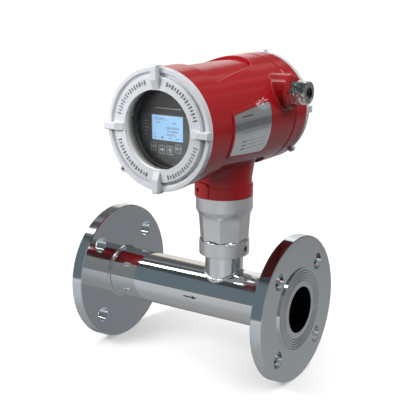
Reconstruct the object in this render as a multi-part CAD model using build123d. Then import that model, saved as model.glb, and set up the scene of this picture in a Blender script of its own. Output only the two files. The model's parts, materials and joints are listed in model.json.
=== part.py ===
from build123d import *
from math import asin, cos, degrees, radians
import os

# Gas mass flow meter: a flanged measuring tube, a thermal sensor stem and a two-compartment transmitter head.
# Row frame: origin at the centre of the inlet's raised face, +X along the flow, +Z up, display facing -Y.

# Flow tube and flanges
face_to_face = 262.0
tube_radius = 30.15
tube_wall = 4.0
flange_radius = 82.5
flange_thickness = 16.0
raised_face_radius = 46.8
raised_face_height = 2.0
bolt_circle_radius = 62.5
bolt_count = 4
bolt_hole_radius = 9.0
bolt_hole_chamfer = 0.6
flange_edge_chamfer = 0.8
groove_count = 5
groove_first_radius = 33.5
groove_pitch = 2.7
groove_depth = 0.5
flange_weld_leg = 2.6

# Sensor stem on the tube
stem_x = 162.6
stem_radius = 21.7
stem_shoulder_z = 49.4
stem_weld_leg = 1.6
spigot_radius = 17.9
spigot_length = 22.0
stem_bore_radius = 11.2
thread_gap = 0.12

# Thermal probe in the gas stream
probe_radius = 9.5
probe_collar_radius = 13.5
probe_collar_height = 5.0
probe_top_height = 14.0
probe_tip_z = -18.0
window_top_z = 14.0
window_bottom_z = -14.0
window_width = 12.0
sensor_radius = 1.5
sensor_pitch = 6.4
sensor_length = 25.0
probe_nut_flats = 30.0
probe_nut_height = 8.0
seal_section = 1.3

# Satin head adaptor
adaptor_ring_radius = 28.7
adaptor_ring_height = 16.6
adaptor_edge_round = 1.2
adaptor_flat_count = 8
flat_foot_apothem = 25.6
flat_top_apothem = 27.2
flat_height = 25.5
flat_runout_height = 8.0
adaptor_taper_height = 31.0
adaptor_top_radius = 32.3
adaptor_top_height = 15.0
adaptor_height = 68.5
adaptor_cavity_radius = 20.5
adaptor_cavity_roof = 9.0
set_screw_radius = 3.9
set_screw_length = 8.0
set_screw_height = 8.4
set_screw_inset = 0.4

# Swivel between the adaptor and the head
swivel_radius = 20.0
swivel_height = 19.0
swivel_clearance = 0.3
swivel_seat_gap = 0.2
swivel_bore_radius = 14.0
swivel_groove_depth = 1.6
swivel_groove_width = 5.8
swivel_screw_height = 8.6
swivel_range = 165.0
lock_screw_radius = 2.5
lock_screw_length = 13.0
neck_seal_height = 15.2
neck_seal_section = 0.9

# Housing of the head, measured from the stem's axis towards the display or the rear
housing_rise = 91.0
housing_front = 119.1
housing_rear = 75.2
collar_radius = 61.6
rear_band_radius = 62.2
rear_band_start = 51.5
rear_groove_depth = 1.0
rear_groove_width = 5.0
scallop_radius = 58.6
scallop_front = 82.0
scallop_corner = 4.0
scallop_edge_round = 1.2
top_scallop_front_half = 40.0
top_scallop_rear_half = 27.0
top_scallop_tip = 19.0
top_scallop_round = 23.0
belly_scallop_front_half = 46.5
belly_scallop_rear_half = 38.5
belly_scallop_tip = 40.0
belly_scallop_round = 32.0
cavity_radius = 53.0
partition_front = 10.0
partition_thickness = 6.0
thread_radius = 54.0
front_thread_depth = 23.5
rear_thread_depth = 19.0
neck_collar_radius = 32.3
neck_collar_height = 12.8
neck_foot_radius = 31.0
neck_straight_height = 7.1
neck_root_radius = 35.5
neck_root_drop = 42.1
neck_fillet_share = 0.272
neck_bore_radius = 9.5
lug_width = 33.0
lug_height = 17.0
lug_radius = 33.7
lug_corner = 5.0
lug_angle = -120.0

# Cable entries
entry_y = 28.0
entry_height = 26.1
entry_boss_radius = 19.0
entry_boss_height = 8.4
entry_boss_chamfer = 2.4
entry_boss_fillet_share = 1 / 3
entry_bore_radius = 10.0

# Nameplate on its pad on the right side
plate_front_y = -78.5
plate_rear_y = -5.0
plate_front_top = 13.4
plate_front_bottom = -28.4
plate_rear_top = 20.0
plate_rear_bottom = -35.0
plate_front_corner = 2.5
plate_rear_corner = 7.0
plate_thickness = 0.5
plate_fit = 0.3
pad_margin = 3.4
pad_radius = 62.8
pad_round = 0.6
pad_lip = 0.25

# Screw covers, measured outwards from the face they seat on
cover_radius = 62.3
cover_seat_gap = 0.2
cover_band = 6.4
cover_rim_width = 6.3
cover_channel_floor = 3.7
cover_channel_width = 2.8
cover_face = 7.2
cover_edge_round = 0.8
cover_thread_clearance = 0.3
cover_relief_radius = 51.6
cover_relief_width = 3.2
front_skirt = 21.3
rear_skirt = 16.0
rear_plate_thickness = 6.0
window_radius = 40.06
window_back_radius = 41.6
glass_ledge = 5.9
rib_count = 4
rib_width = 7.4
rib_height = 11.55
rib_overhang = 1.9
rib_flat_length = 14.2
rib_round = 1.1
cover_lug_radius = 3.6
cover_lug_overhang = 0.7
front_lug_angle = -135.0
rear_lug_angle = -132.0
cover_lock_radius = 1.9
oring_section = 0.85

# Window of the front cover
glass_thickness = 8.0
glass_gap = 0.3
gasket_thickness = 1.0
retaining_ring_clearance = 0.48
retaining_ring_height = 3.0
spanner_notch_count = 4
spanner_notch_width = 3.0

# Display behind the window
faceplate_front = 100.4
faceplate_radius = 37.2
faceplate_thickness = 0.8
bezel_radius = 41.5
bezel_rim = 0.6
bezel_wall = 2.0
bezel_flange_front = 96.0
bezel_flange_rear = 94.0
lcd_centre_x = -3.5
lcd_centre_z = -1.6
lcd_width = 38.6
lcd_height = 25.6
lcd_border = 3.4
lcd_lower_border = 1.2
panel_fit = 0.15
lcd_body_thickness = 4.0
board_thickness = 1.6
display_board_radius = 38.0
key_width = 8.6
key_height = 9.3
key_fit = 0.35
key_proud = 0.4
key_travel = 0.6
key_flange = 0.7
key_flange_thickness = 1.0
key_corner = 1.2
key_switch_width = 6.0
key_places = {
    "key_escape": (-20.7, -21.6),
    "key_next": (-10.4, -24.0),
    "key_up": (-0.1, -24.0),
    "key_enter": (10.2, -21.6),
}
display_posts = [(-25.0, 24.0), (25.0, 24.0), (29.5, -19.0), (-32.5, -12.0)]
display_post_radius = 2.3
small_screw_radius = 1.2
small_head_radius = 2.2
small_head_height = 1.5
bezel_screw_length = 8.0
frame_screw_grip = 6.0

# Electronics behind the display
frame_radius = 46.0
frame_wall = 2.0
frame_floor = 29.0
frame_floor_thickness = 3.0
frame_slot_width = 22.0
frame_slot_margin = 18.0
frame_post_radius = 2.6
frame_post_inset = 3.8
screw_head_clearance = 0.1
frame_start_angle = 30.0
pillar_circle = 33.0
pillar_flats = 6.0
board_radius = 40.0
spacer_radius = 2.5
spacer_circle = 35.0
power_board_place = 48.0
main_board_place = 70.0
transformer_size = (22.0, 18.0, 15.0)
transformer_place = (-12.0, 6.0)
capacitor_radius = 5.0
capacitor_height = 14.0
capacitor_places = [(14.0, 12.0), (14.0, -2.0), (2.0, -16.0)]

# Rear compartment
feedthrough_height = 28.0
feedthrough_radius = 9.0
feedthrough_flange_radius = 12.0
feedthrough_flange = 3.0
terminal_width = 50.0
terminal_depth = 18.0
terminal_height = 18.0
terminal_drop = -8.0
terminal_count = 6
terminal_pitch = 7.4
terminal_screw_radius = 2.0
terminal_wire_radius = 1.6
ground_screw_place = (0.0, -34.0)
ground_screw_radius = 2.5

# Cable gland and blanking plug
gland_flats = 24.0
gland_shank_length = 15.0
gland_hex_height = 7.0
gland_nose_radius = 9.6
gland_nose_length = 8.0
gland_nut_start = 0.6
gland_nut_length = 11.4
gland_nut_round = 2.6
gland_nut_clearance = 0.3
gland_hole_radius = 6.3
gland_washer_thickness = 1.0
gland_washer_bore = 5.0
gland_seal_radius = 7.6
gland_bore_radius = 5.6
cable_radius = 4.6
plug_head_height = 5.0
plug_socket_flats = 8.0

# Derived places
tube_bore_radius = tube_radius - tube_wall
adaptor_top_z = stem_shoulder_z + adaptor_height
spigot_top_z = stem_shoulder_z + spigot_length
swivel_screw_z = adaptor_top_z + swivel_screw_height
neck_low_z = adaptor_top_z + swivel_seat_gap
housing_z = neck_low_z + housing_rise
neck_root_z = housing_z - neck_root_drop
neck_free_height = housing_rise - scallop_radius - neck_collar_height - neck_straight_height
neck_fillet = neck_fillet_share * neck_free_height
entry_boss_reach = collar_radius + entry_boss_height
entry_boss_fillet = entry_boss_fillet_share * (entry_boss_height - entry_boss_chamfer)
partition_rear = partition_front + partition_thickness
front_seat = housing_front + cover_seat_gap
rear_seat = housing_rear + cover_seat_gap
skirt_radius = thread_radius - cover_thread_clearance
cover_channel_radius = cover_radius - cover_rim_width
cover_step_radius = cover_channel_radius - cover_channel_width
rib_radius = cover_radius + rib_overhang
rib_flat_radius = rib_radius - rib_flat_length
cover_lug_offset = cover_radius + cover_lug_overhang
glass_seat_radius = window_back_radius + glass_ledge
glass_front = front_seat - front_skirt + retaining_ring_height + glass_thickness + 0.4
bezel_front = faceplate_front - faceplate_thickness
bezel_top = faceplate_front + bezel_rim
bezel_back = bezel_front - bezel_wall
display_board_front = bezel_back - lcd_body_thickness
display_board_back = display_board_front - board_thickness
frame_post_circle = frame_radius - frame_post_inset
frame_post_screw_circle = bezel_radius + small_head_radius + screw_head_clearance
plate_seat_radius = pad_radius - plate_thickness - pad_lip
gland_nose_start = entry_boss_reach + gland_hex_height
gland_nose_top = gland_nose_start + gland_nose_length
gland_nut_low = gland_nose_start + gland_nut_start
gland_washer_low = gland_nose_top - 0.3
tool_overrun = 20.0

BOTTOM = (Align.CENTER, Align.CENTER, Align.MIN)

# Local frames: z out of the display, z out of the rear cover, z along the right-hand cable entry
front_frame = Location(Plane(origin=(stem_x, 0, housing_z), x_dir=(1, 0, 0), z_dir=(0, -1, 0)))
rear_frame = Location(Plane(origin=(stem_x, 0, housing_z), x_dir=(-1, 0, 0), z_dir=(0, 1, 0)))
entry_z = housing_z + entry_height
right_entry = Location(Plane(origin=(stem_x, entry_y, entry_z), x_dir=(0, 1, 0), z_dir=(1, 0, 0)))
left_entry = Location(Plane(origin=(stem_x, entry_y, entry_z), x_dir=(0, -1, 0), z_dir=(-1, 0, 0)))
stem_frame = Pos(stem_x, 0, 0)
flow_frame = Rot(0, 90, 0)


def rod(radius, low, high):
    """Cylinder about the local z axis between two heights."""
    return Pos(0, 0, low) * Cylinder(radius, high - low, align=BOTTOM)


def tube(outer, inner, low, high):
    """Plain ring about the local z axis."""
    return rod(outer, low, high) - rod(inner, low - 1, high + 1)


def turned(points, rounds=()):
    """Solid of revolution about z from (radius, height) points, with some corners rounded."""
    outline = make_face(Plane.XZ * Polyline(*points, close=True))
    for corner, radius in rounds:
        spot = Vector(points[corner][0], 0, points[corner][1])
        outline = fillet(outline.vertices().sort_by_distance(spot)[0], radius)
    return revolve(outline, Axis.Z)


def prism(flats, low, high):
    """Hexagonal prism about z with its outer corners chamfered at both ends."""
    corner = flats / 2 / cos(radians(30))
    blank = Pos(0, 0, low) * extrude(RegularPolygon(corner, 6), high - low)
    cut = corner - flats / 2 + 0.35
    points = [(0, low), (corner - cut + 0.5, low), (corner + 0.5, low + cut / 1.7)]
    points += [(corner + 0.5, high - cut / 1.7), (corner - cut + 0.5, high), (0, high)]
    return blank & turned(points)


def block(width, depth, low, high, corner=0.0):
    """Upright block about z, with its four upright edges rounded."""
    shape = Rectangle(width, depth) if corner == 0 else RectangleRounded(width, depth, corner)
    return Pos(0, 0, low) * extrude(shape, high - low)


def rounded_outline(corners, radii):
    """Flat outline with each of its corners rounded."""
    face = make_face(Polyline(*corners, close=True))
    for (x, y), radius in zip(corners, radii):
        face = fillet(face.vertices().sort_by_distance(Vector(x, y, 0))[0], radius)
    return face


def around(count, radius, start=0.0):
    """Places on a circle about z."""
    return [Rot(0, 0, start + 360.0 * k / count) * Pos(radius, 0, 0) for k in range(count)]


def fused(body, extra, radius):
    """Body with a piece fused on and their junction filleted."""
    joined = body + extra
    return fillet(new_edges(body, extra, combined=joined), radius)


def group(shapes):
    """Separate solids kept in one node."""
    return Compound(children=[s for shape in shapes for s in shape.solids()])


def set_screw(radius, length, socket):
    """Socket set screw along z with its socket at the top."""
    body = rod(radius, 0, length)
    return body - Pos(0, 0, length - radius) * extrude(RegularPolygon(socket, 6), radius + 1)


def pan_screw(radius, length, head_radius, head_height):
    """Slotted screw: the head's underside is at z = 0 and the shank runs down."""
    points = [(0, -length), (radius, -length), (radius, 0), (head_radius, 0)]
    points += [(head_radius, head_height * 0.6), (head_radius * 0.7, head_height), (0, head_height)]
    slot = Pos(0, 0, head_height) * Box(head_radius * 2.2, head_radius * 0.3, head_height)
    return turned(points) - slot


# Tube, flanges and welds
def make_flow_tube():
    body = flow_frame * tube(tube_radius, tube_bore_radius, 0, face_to_face)
    return body - stem_frame * rod(stem_bore_radius, 0, tube_radius + 5)


def make_flange():
    points = [(tube_radius, 0)]
    for k in range(groove_count):
        centre = groove_first_radius + k * groove_pitch
        points += [(centre - groove_depth * 1.5, 0), (centre, groove_depth), (centre + groove_depth * 1.5, 0)]
    edge = flange_edge_chamfer
    points += [(raised_face_radius, 0), (raised_face_radius, raised_face_height)]
    points += [(flange_radius - edge, raised_face_height), (flange_radius, raised_face_height + edge)]
    points += [(flange_radius, flange_thickness - edge), (flange_radius - edge, flange_thickness)]
    points += [(tube_radius, flange_thickness)]
    body = turned(points)
    wide = bolt_hole_radius + bolt_hole_chamfer
    low = raised_face_height
    hole = turned([(0, low - 1), (wide + 1, low - 1), (bolt_hole_radius, low + bolt_hole_chamfer),
                   (bolt_hole_radius, flange_thickness - bolt_hole_chamfer), (wide + 1, flange_thickness + 1),
                   (0, flange_thickness + 1)])
    for place in around(bolt_count, bolt_circle_radius, 180.0 / bolt_count):
        body -= place * hole
    return flow_frame * body


def make_flange_welds():
    leg = flange_weld_leg
    low = flange_thickness
    points = [(tube_radius, low), (tube_radius + leg, low), (tube_radius + leg * 0.62, low + leg * 0.62),
              (tube_radius, low + leg)]
    bead = flow_frame * turned(points)
    return group([bead, outlet_place * bead])


# Sensor stem and the saddle bead at its foot
def make_sensor_stem():
    body = rod(stem_radius, 0, stem_shoulder_z) + rod(spigot_radius, stem_shoulder_z, spigot_top_z)
    body -= rod(stem_bore_radius, -1, spigot_top_z + 1)
    body -= rod(probe_collar_radius + thread_gap, spigot_top_z - probe_collar_height - seal_section * 2,
                spigot_top_z + 1)
    return stem_frame * body - flow_frame * rod(tube_radius, 0, face_to_face)


def make_stem_weld():
    outer = stem_frame * rod(stem_radius + stem_weld_leg, 0, tube_radius + 10)
    skin = flow_frame * tube(tube_radius + stem_weld_leg, tube_radius, 0, face_to_face)
    bead = (outer & skin) - stem_frame * rod(stem_radius, 0, tube_radius + tool_overrun)
    return bead


# Probe: a clamped rod with a window through which the gas passes over two sensor pins
def make_probe_body():
    top = spigot_top_z
    points = [(0, probe_tip_z), (probe_radius - 1, probe_tip_z), (probe_radius, probe_tip_z + 1),
              (probe_radius, top - probe_collar_height), (probe_collar_radius, top - probe_collar_height),
              (probe_collar_radius, top), (probe_radius, top), (probe_radius, top + probe_top_height),
              (0, top + probe_top_height)]
    body = turned(points)
    height = window_top_z - window_bottom_z
    body -= Pos(0, 0, window_bottom_z) * Box(4 * probe_radius, window_width, height, align=BOTTOM)
    return stem_frame * body


def make_sensor(side):
    pin = rod(sensor_radius, window_top_z - sensor_length, window_top_z)
    return stem_frame * Pos(0, side * sensor_pitch / 2, 0) * pin


def make_probe_seal():
    low = spigot_top_z - probe_collar_height - seal_section * 2
    ring = tube(probe_collar_radius - 0.3, probe_radius + 0.2, low, low + seal_section * 2)
    return stem_frame * ring


def make_probe_nut():
    high = spigot_top_z + probe_nut_height
    nut = prism(probe_nut_flats, spigot_top_z, high)
    return stem_frame * (nut - rod(probe_radius + thread_gap, spigot_top_z - 1, high + 1))


# Adaptor with a plain ring, tapered flats, a round top and the swivel spigot
def make_head_adaptor():
    low = stem_shoulder_z
    ring_top = low + adaptor_ring_height
    flat_top = ring_top + flat_height
    top = adaptor_top_z
    shoulder = top - adaptor_top_height
    blank_foot = flat_foot_apothem / cos(radians(180 / adaptor_flat_count)) + 0.2
    blank_top = flat_top_apothem / cos(radians(180 / adaptor_flat_count)) + 0.3
    seal_low = top + neck_seal_height - neck_seal_section * 1.4
    seal_high = top + neck_seal_height + neck_seal_section * 1.4
    seal_floor = swivel_radius - neck_seal_section * 2 - 0.1
    points = [
        (spigot_radius + thread_gap, low), (adaptor_ring_radius, low), (adaptor_ring_radius, ring_top),
        (blank_foot, ring_top), (blank_top, ring_top + adaptor_taper_height),
        (adaptor_top_radius, shoulder), (adaptor_top_radius, top), (swivel_radius, top),
        (swivel_radius, seal_low), (seal_floor, seal_low), (seal_floor, seal_high),
        (swivel_radius, seal_high), (swivel_radius, top + swivel_height - 0.8),
        (swivel_radius - 0.8, top + swivel_height),
        (swivel_bore_radius, top + swivel_height), (swivel_bore_radius, top - adaptor_cavity_roof + 2),
        (adaptor_cavity_radius, top - adaptor_cavity_roof - 4), (adaptor_cavity_radius, spigot_top_z + 1),
        (spigot_radius + thread_gap, spigot_top_z + 1),
    ]
    body = turned(points, [(1, adaptor_edge_round), (5, 3.0)])
    line = Line((flat_foot_apothem, ring_top), (flat_top_apothem, flat_top))
    runout_end = (adaptor_top_radius - 1, flat_top + flat_runout_height)
    runout = TangentArc(line @ 1, runout_end, tangent=line % 1)
    wide = adaptor_top_radius + 10
    rest = Polyline(runout @ 1, runout @ 1 + 8 * (runout % 1), (wide, ring_top), line @ 0)
    cutter = extrude(Plane.XZ * make_face([line, runout, rest]), adaptor_ring_radius / 2, both=True)
    for k in range(adaptor_flat_count):
        body -= Rot(0, 0, 360.0 * k / adaptor_flat_count) * cutter
    # Groove for the swivel lock screw, with a stop land opposite the screw
    tip_half = degrees(asin(lock_screw_radius / (swivel_radius - swivel_groove_depth)))
    land = 2 * (180 - swivel_range - tip_half - 1)
    section = Rectangle(2 * swivel_groove_depth, swivel_groove_width)
    section = Plane.XZ * Pos(swivel_radius, swivel_screw_z) * section
    groove = revolve(section, Axis.Z, 360 - land)
    body -= Rot(0, 0, lug_angle + 180 + land / 2) * groove
    hole_z = low + set_screw_height
    body -= Pos(0, 0, hole_z) * flow_frame * rod(set_screw_radius + thread_gap / 2, spigot_radius,
                                                 adaptor_ring_radius + 2)
    return stem_frame * body


def make_adaptor_set_screw():
    screw = set_screw(set_screw_radius, set_screw_length, set_screw_radius * 0.58)
    reach = adaptor_ring_radius - set_screw_inset - set_screw_length
    return stem_frame * Pos(0, 0, stem_shoulder_z + set_screw_height) * flow_frame * Pos(0, 0, reach) * screw


def make_neck_seal():
    ring = Torus(swivel_radius - neck_seal_section - 0.05, neck_seal_section)
    return stem_frame * Pos(0, 0, adaptor_top_z + neck_seal_height) * ring


# Cast housing
def scallop(body, halves, tip, tip_round, side):
    """Cuts a tongue-shaped relief into the top (side 1) or the belly (side -1) and rounds its rim."""
    front_half, rear_half = halves
    corners = [(-front_half, -scallop_front), (front_half, -scallop_front),
               (rear_half, tip), (-rear_half, tip)]
    plan = rounded_outline(corners, [scallop_corner, scallop_corner, tip_round, tip_round])
    above = Plane(origin=(0, 0, 0), x_dir=(1, 0, 0), z_dir=(0, 1, 0))
    tool = extrude(above * plan, side * (cover_radius + tool_overrun))
    tool -= rod(scallop_radius, -housing_rear, housing_front)
    cut = body - tool
    middle = (scallop_radius + collar_radius) / 2
    rim = [e for e in new_edges(body, tool, combined=cut) if Vector((e @ 0.5).X, (e @ 0.5).Y).length > middle]
    return fillet(rim, scallop_edge_round)


def plate_outline(margin):
    """Outline of the nameplate in the side view, grown by a margin."""
    side = Plane(origin=(0, 0, 0), x_dir=(0, 0, -1), z_dir=(1, 0, 0))
    front = plate_front_y - margin
    rear = plate_rear_y + margin
    corners = [(front, plate_front_top + margin), (rear, plate_rear_top + margin),
               (rear, plate_rear_bottom - margin), (front, plate_front_bottom - margin)]
    front_round = plate_front_corner + margin / 2
    rear_round = plate_rear_corner + margin / 2
    return side * rounded_outline(corners, [front_round, rear_round, rear_round, front_round])


def wrapped(margin, low, high):
    """Part of a ring about the housing's axis, seen through the nameplate's outline."""
    prism_through = extrude(plate_outline(margin), cover_radius + tool_overrun)
    return prism_through & tube(high, low, -housing_rear, housing_front)


def make_neck():
    """Neck of the housing with its swivel collar and the lug for the lock screw, about the stem's axis."""
    low = neck_low_z
    collar_top = low + neck_collar_height
    straight_top = collar_top + neck_straight_height
    neck = turned([(0, low), (neck_collar_radius, low), (neck_collar_radius, collar_top),
                   (neck_foot_radius, collar_top + 0.4), (neck_foot_radius, straight_top),
                   (neck_root_radius, neck_root_z), (0, neck_root_z)])
    lug_face = flow_frame * RectangleRounded(lug_height, lug_width, lug_corner)
    lug = Pos(0, 0, low + lug_height / 2) * extrude(lug_face, lug_radius + 5)
    lug &= tube(lug_radius, neck_foot_radius - 2, low, low + lug_height)
    return neck, Rot(0, 0, lug_angle) * lug


def make_housing():
    low = neck_low_z
    groove_front = rear_band_start - rear_groove_width
    points = [(0, -housing_rear), (rear_band_radius, -housing_rear), (rear_band_radius, -groove_front),
              (collar_radius, scallop_front), (collar_radius, housing_front), (0, housing_front)]
    body = turned(points, [(4, 0.6), (1, 0.6)])
    body = scallop(body, (top_scallop_front_half, top_scallop_rear_half), top_scallop_tip,
                   top_scallop_round, 1)
    body = scallop(body, (belly_scallop_front_half, belly_scallop_rear_half), belly_scallop_tip,
                   belly_scallop_round, -1)
    body = front_frame * body
    # Neck, cable bosses and nameplate pad
    neck, lug = make_neck()
    body = fused(body, stem_frame * neck, neck_fillet)
    body += stem_frame * lug
    boss = turned([(0, 30), (entry_boss_radius, 30),
                   (entry_boss_radius, entry_boss_reach - entry_boss_chamfer),
                   (entry_boss_radius - entry_boss_chamfer, entry_boss_reach), (0, entry_boss_reach)])
    for entry in (right_entry, left_entry):
        body = fused(body, entry * boss, entry_boss_fillet)
    pad = wrapped(pad_margin, scallop_radius - 3, pad_radius)
    pad = fillet(pad.faces().sort_by(Axis.X)[-1].edges(), pad_round)
    body += front_frame * pad
    # Groove in front of the rear band
    bottom = rear_band_radius - rear_groove_depth
    groove = turned([(bottom, -rear_band_start + 1.2), (rear_band_radius + 0.4, -rear_band_start - 0.5),
                     (rear_band_radius + 0.4, -groove_front + 0.5), (bottom, -groove_front - 1.2)])
    body -= front_frame * groove
    # Compartments, threads and passages
    body -= front_frame * rod(cavity_radius, -partition_front, housing_front + 1)
    body -= front_frame * rod(thread_radius, housing_front - front_thread_depth, housing_front + 1)
    body -= rear_frame * rod(cavity_radius, partition_rear, housing_rear + 1)
    body -= rear_frame * rod(thread_radius, housing_rear - rear_thread_depth, housing_rear + 1)
    body -= stem_frame * rod(swivel_radius + swivel_clearance, low - 1, low + swivel_height + 0.6)
    body -= stem_frame * rod(neck_bore_radius, low, housing_z - cavity_radius / 2)
    for entry in (right_entry, left_entry):
        body -= entry * rod(entry_bore_radius, cavity_radius / 2, entry_boss_reach + 1)
    bushing_hole = rod(feedthrough_radius + thread_gap, -partition_rear - 1, -partition_front + 1)
    body -= front_frame * Pos(0, feedthrough_height, 0) * bushing_hole
    body -= front_frame * wrapped(plate_fit, plate_seat_radius, cover_radius + 10)
    screw_hole = flow_frame * rod(lock_screw_radius + thread_gap / 2, swivel_radius - 2, lug_radius + 2)
    return body - stem_frame * Rot(0, 0, lug_angle) * Pos(0, 0, swivel_screw_z) * screw_hole


def make_nameplate():
    return front_frame * wrapped(0, plate_seat_radius, plate_seat_radius + plate_thickness)


def make_swivel_lock_screw():
    tip = swivel_radius - swivel_groove_depth + 0.4
    screw = set_screw(lock_screw_radius, lock_screw_length, lock_screw_radius * 0.6)
    return stem_frame * Rot(0, 0, lug_angle) * Pos(0, 0, swivel_screw_z) * flow_frame * Pos(0, 0, tip) * screw


# Screw covers
def cover_rib():
    points = [(window_back_radius, cover_face - 2), (window_back_radius, cover_face + 0.6),
              (rib_flat_radius, rib_height), (rib_radius - 1.2, rib_height), (rib_radius, rib_height - 1.6),
              (rib_radius, cover_band / 2), (cover_radius - 1, 1.0), (cover_step_radius, 1.0)]
    rib = extrude(Plane.XZ * make_face(Polyline(*points, close=True)), rib_width / 2, both=True)
    return fillet(rib.edges().filter_by(Axis.Y, reverse=True).group_by(Axis.Z)[-1], rib_round)


def cover_blank(inner_points):
    """Turned cover about z: the outside is shared, the inside comes from the points given."""
    outside = [
        (cover_step_radius, cover_face), (cover_step_radius + 0.8, cover_channel_floor),
        (cover_channel_radius, cover_channel_floor), (cover_channel_radius + 2.2, cover_band),
        (cover_radius, cover_band), (cover_radius, 0), (cover_relief_radius, 0),
        (cover_relief_radius, -cover_relief_width), (skirt_radius, -cover_relief_width),
    ]
    return turned(outside + inner_points, [(0, 1.0), (4, cover_edge_round)])


def finish_cover(body, lug):
    for place in around(rib_count, 0):
        body += place * cover_rib()
    lug_place = Rot(0, 0, lug) * Pos(cover_lug_offset, 0, 0)
    body += lug_place * rod(cover_lug_radius, 0, cover_band - 0.8)
    return body - lug_place * rod(cover_lock_radius + thread_gap / 2, -1, cover_band + 1)


def make_front_cover():
    ring_seat = glass_front - glass_thickness - front_seat
    shoulder = glass_front + gasket_thickness - front_seat
    inside = [(skirt_radius, -front_skirt + 1), (skirt_radius - 1, -front_skirt),
              (glass_seat_radius, -front_skirt), (glass_seat_radius, shoulder),
              (window_back_radius, shoulder), (window_radius, cover_face)]
    body = finish_cover(cover_blank(inside), front_lug_angle)
    return front_frame * Pos(0, 0, front_seat) * body


def make_rear_cover():
    floor = cover_face - rear_plate_thickness
    inside = [(skirt_radius, -rear_skirt + 1), (skirt_radius - 1, -rear_skirt),
              (glass_seat_radius, -rear_skirt), (glass_seat_radius, floor), (0, floor), (0, cover_face)]
    body = finish_cover(cover_blank(inside), rear_lug_angle)
    return rear_frame * Pos(0, 0, rear_seat) * body


def make_cover_lock_screw(frame, seat, lug):
    screw = set_screw(cover_lock_radius, cover_band - 1.4, cover_lock_radius * 0.6)
    return frame * Pos(0, 0, seat) * Rot(0, 0, lug) * Pos(cover_lug_offset, 0, 0) * screw


def make_cover_oring(frame, seat):
    centre = (cover_relief_radius + thread_radius) / 2
    return frame * Pos(0, 0, seat - cover_relief_width / 2) * Torus(centre, oring_section)


def make_cover_glass():
    return front_frame * rod(glass_seat_radius - glass_gap, glass_front - glass_thickness, glass_front)


def make_glass_gasket():
    return front_frame * tube(glass_seat_radius - glass_gap, window_back_radius + 0.2, glass_front,
                              glass_front + gasket_thickness)


def make_glass_retaining_ring():
    top = glass_front - glass_thickness
    inner = bezel_radius + retaining_ring_clearance
    ring = tube(glass_seat_radius - thread_gap, inner, top - retaining_ring_height, top)
    for place in around(spanner_notch_count, inner):
        ring -= place * Pos(0, 0, top - retaining_ring_height) * Box(4, spanner_notch_width, 2.4)
    return front_frame * ring


# Display
def make_display_bezel():
    inner = bezel_radius - bezel_wall
    pocket = faceplate_radius + panel_fit
    points = [(0, bezel_back), (inner, bezel_back), (inner, bezel_flange_rear),
              (frame_radius, bezel_flange_rear), (frame_radius, bezel_flange_front),
              (bezel_radius, bezel_flange_front), (bezel_radius, bezel_top - 0.3),
              (bezel_radius - 0.3, bezel_top), (pocket, bezel_top), (pocket, bezel_front), (0, bezel_front)]
    body = turned(points)
    for x, z in display_posts:
        body += Pos(x, z, 0) * rod(display_post_radius, display_board_front, bezel_back + 0.5)
    body -= lcd_place * block(lcd_width + 2 * panel_fit, lcd_height + 2 * panel_fit, bezel_back - 1,
                              bezel_front + 1)
    for x, z in key_places.values():
        body -= Pos(x, z, 0) * block(key_width + 2 * key_fit, key_height + 2 * key_fit, bezel_back - 1,
                                     bezel_front + 1, key_corner)
    for x, z in display_posts:
        body -= Pos(x, z, 0) * rod(small_screw_radius + thread_gap / 2, display_board_front - 1, bezel_back)
    for place in around(3, frame_post_screw_circle, frame_start_angle):
        body -= place * rod(small_screw_radius + thread_gap / 2, bezel_flange_rear - 1,
                            bezel_flange_front + 1)
    return front_frame * body


def make_display_faceplate():
    body = rod(faceplate_radius, bezel_front, faceplate_front)
    body -= lcd_place * block(lcd_width + 2 * panel_fit, lcd_height + 2 * panel_fit, bezel_front - 1,
                              faceplate_front + 1)
    for x, z in key_places.values():
        body -= Pos(x, z, 0) * block(key_width + 2 * key_fit, key_height + 2 * key_fit, bezel_front - 1,
                                     faceplate_front + 1, key_corner)
    return front_frame * body


def make_lcd_module():
    glass = block(lcd_width, lcd_height, bezel_back, faceplate_front - 0.3)
    height = lcd_height + lcd_border + lcd_lower_border
    body = block(lcd_width + 2 * lcd_border, height, display_board_front, bezel_back)
    return front_frame * lcd_place * (glass + Pos(0, (lcd_border - lcd_lower_border) / 2, 0) * body)


def make_key(x, z):
    low = bezel_back - key_flange_thickness
    cap = block(key_width, key_height, low, faceplate_front + key_proud, key_corner)
    cap = chamfer(cap.faces().sort_by(Axis.Z)[-1].edges(), 0.25)
    foot = block(key_width + 2 * key_flange, key_height + 2 * key_flange, low - 0.05, bezel_back - 0.05)
    return front_frame * Pos(x, z, 0) * (cap + foot)


def make_display_board():
    body = rod(display_board_radius, display_board_back, display_board_front)
    for x, z in display_posts:
        body -= Pos(x, z, 0) * rod(small_screw_radius + thread_gap / 2, display_board_back - 1,
                                   display_board_front + 1)
    return front_frame * body


def make_key_switches():
    height = lcd_body_thickness - key_flange_thickness - key_travel - 0.35
    low = display_board_front
    switch = block(key_switch_width, key_switch_width, low, low + height * 0.75)
    switch += rod(key_switch_width / 4, low, low + height)
    return front_frame * group([Pos(x, z, 0) * switch for x, z in key_places.values()])


def make_display_screws():
    screw = Rot(180, 0, 0) * pan_screw(small_screw_radius, board_thickness + 3, small_head_radius,
                                       small_head_height)
    return front_frame * group([Pos(x, z, display_board_back) * screw for x, z in display_posts])


def make_bezel_screws():
    screw = pan_screw(small_screw_radius, bezel_screw_length, small_head_radius, small_head_height)
    places = around(3, frame_post_screw_circle, frame_start_angle)
    return front_frame * group([place * Pos(0, 0, bezel_flange_front) * screw for place in places])


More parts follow.
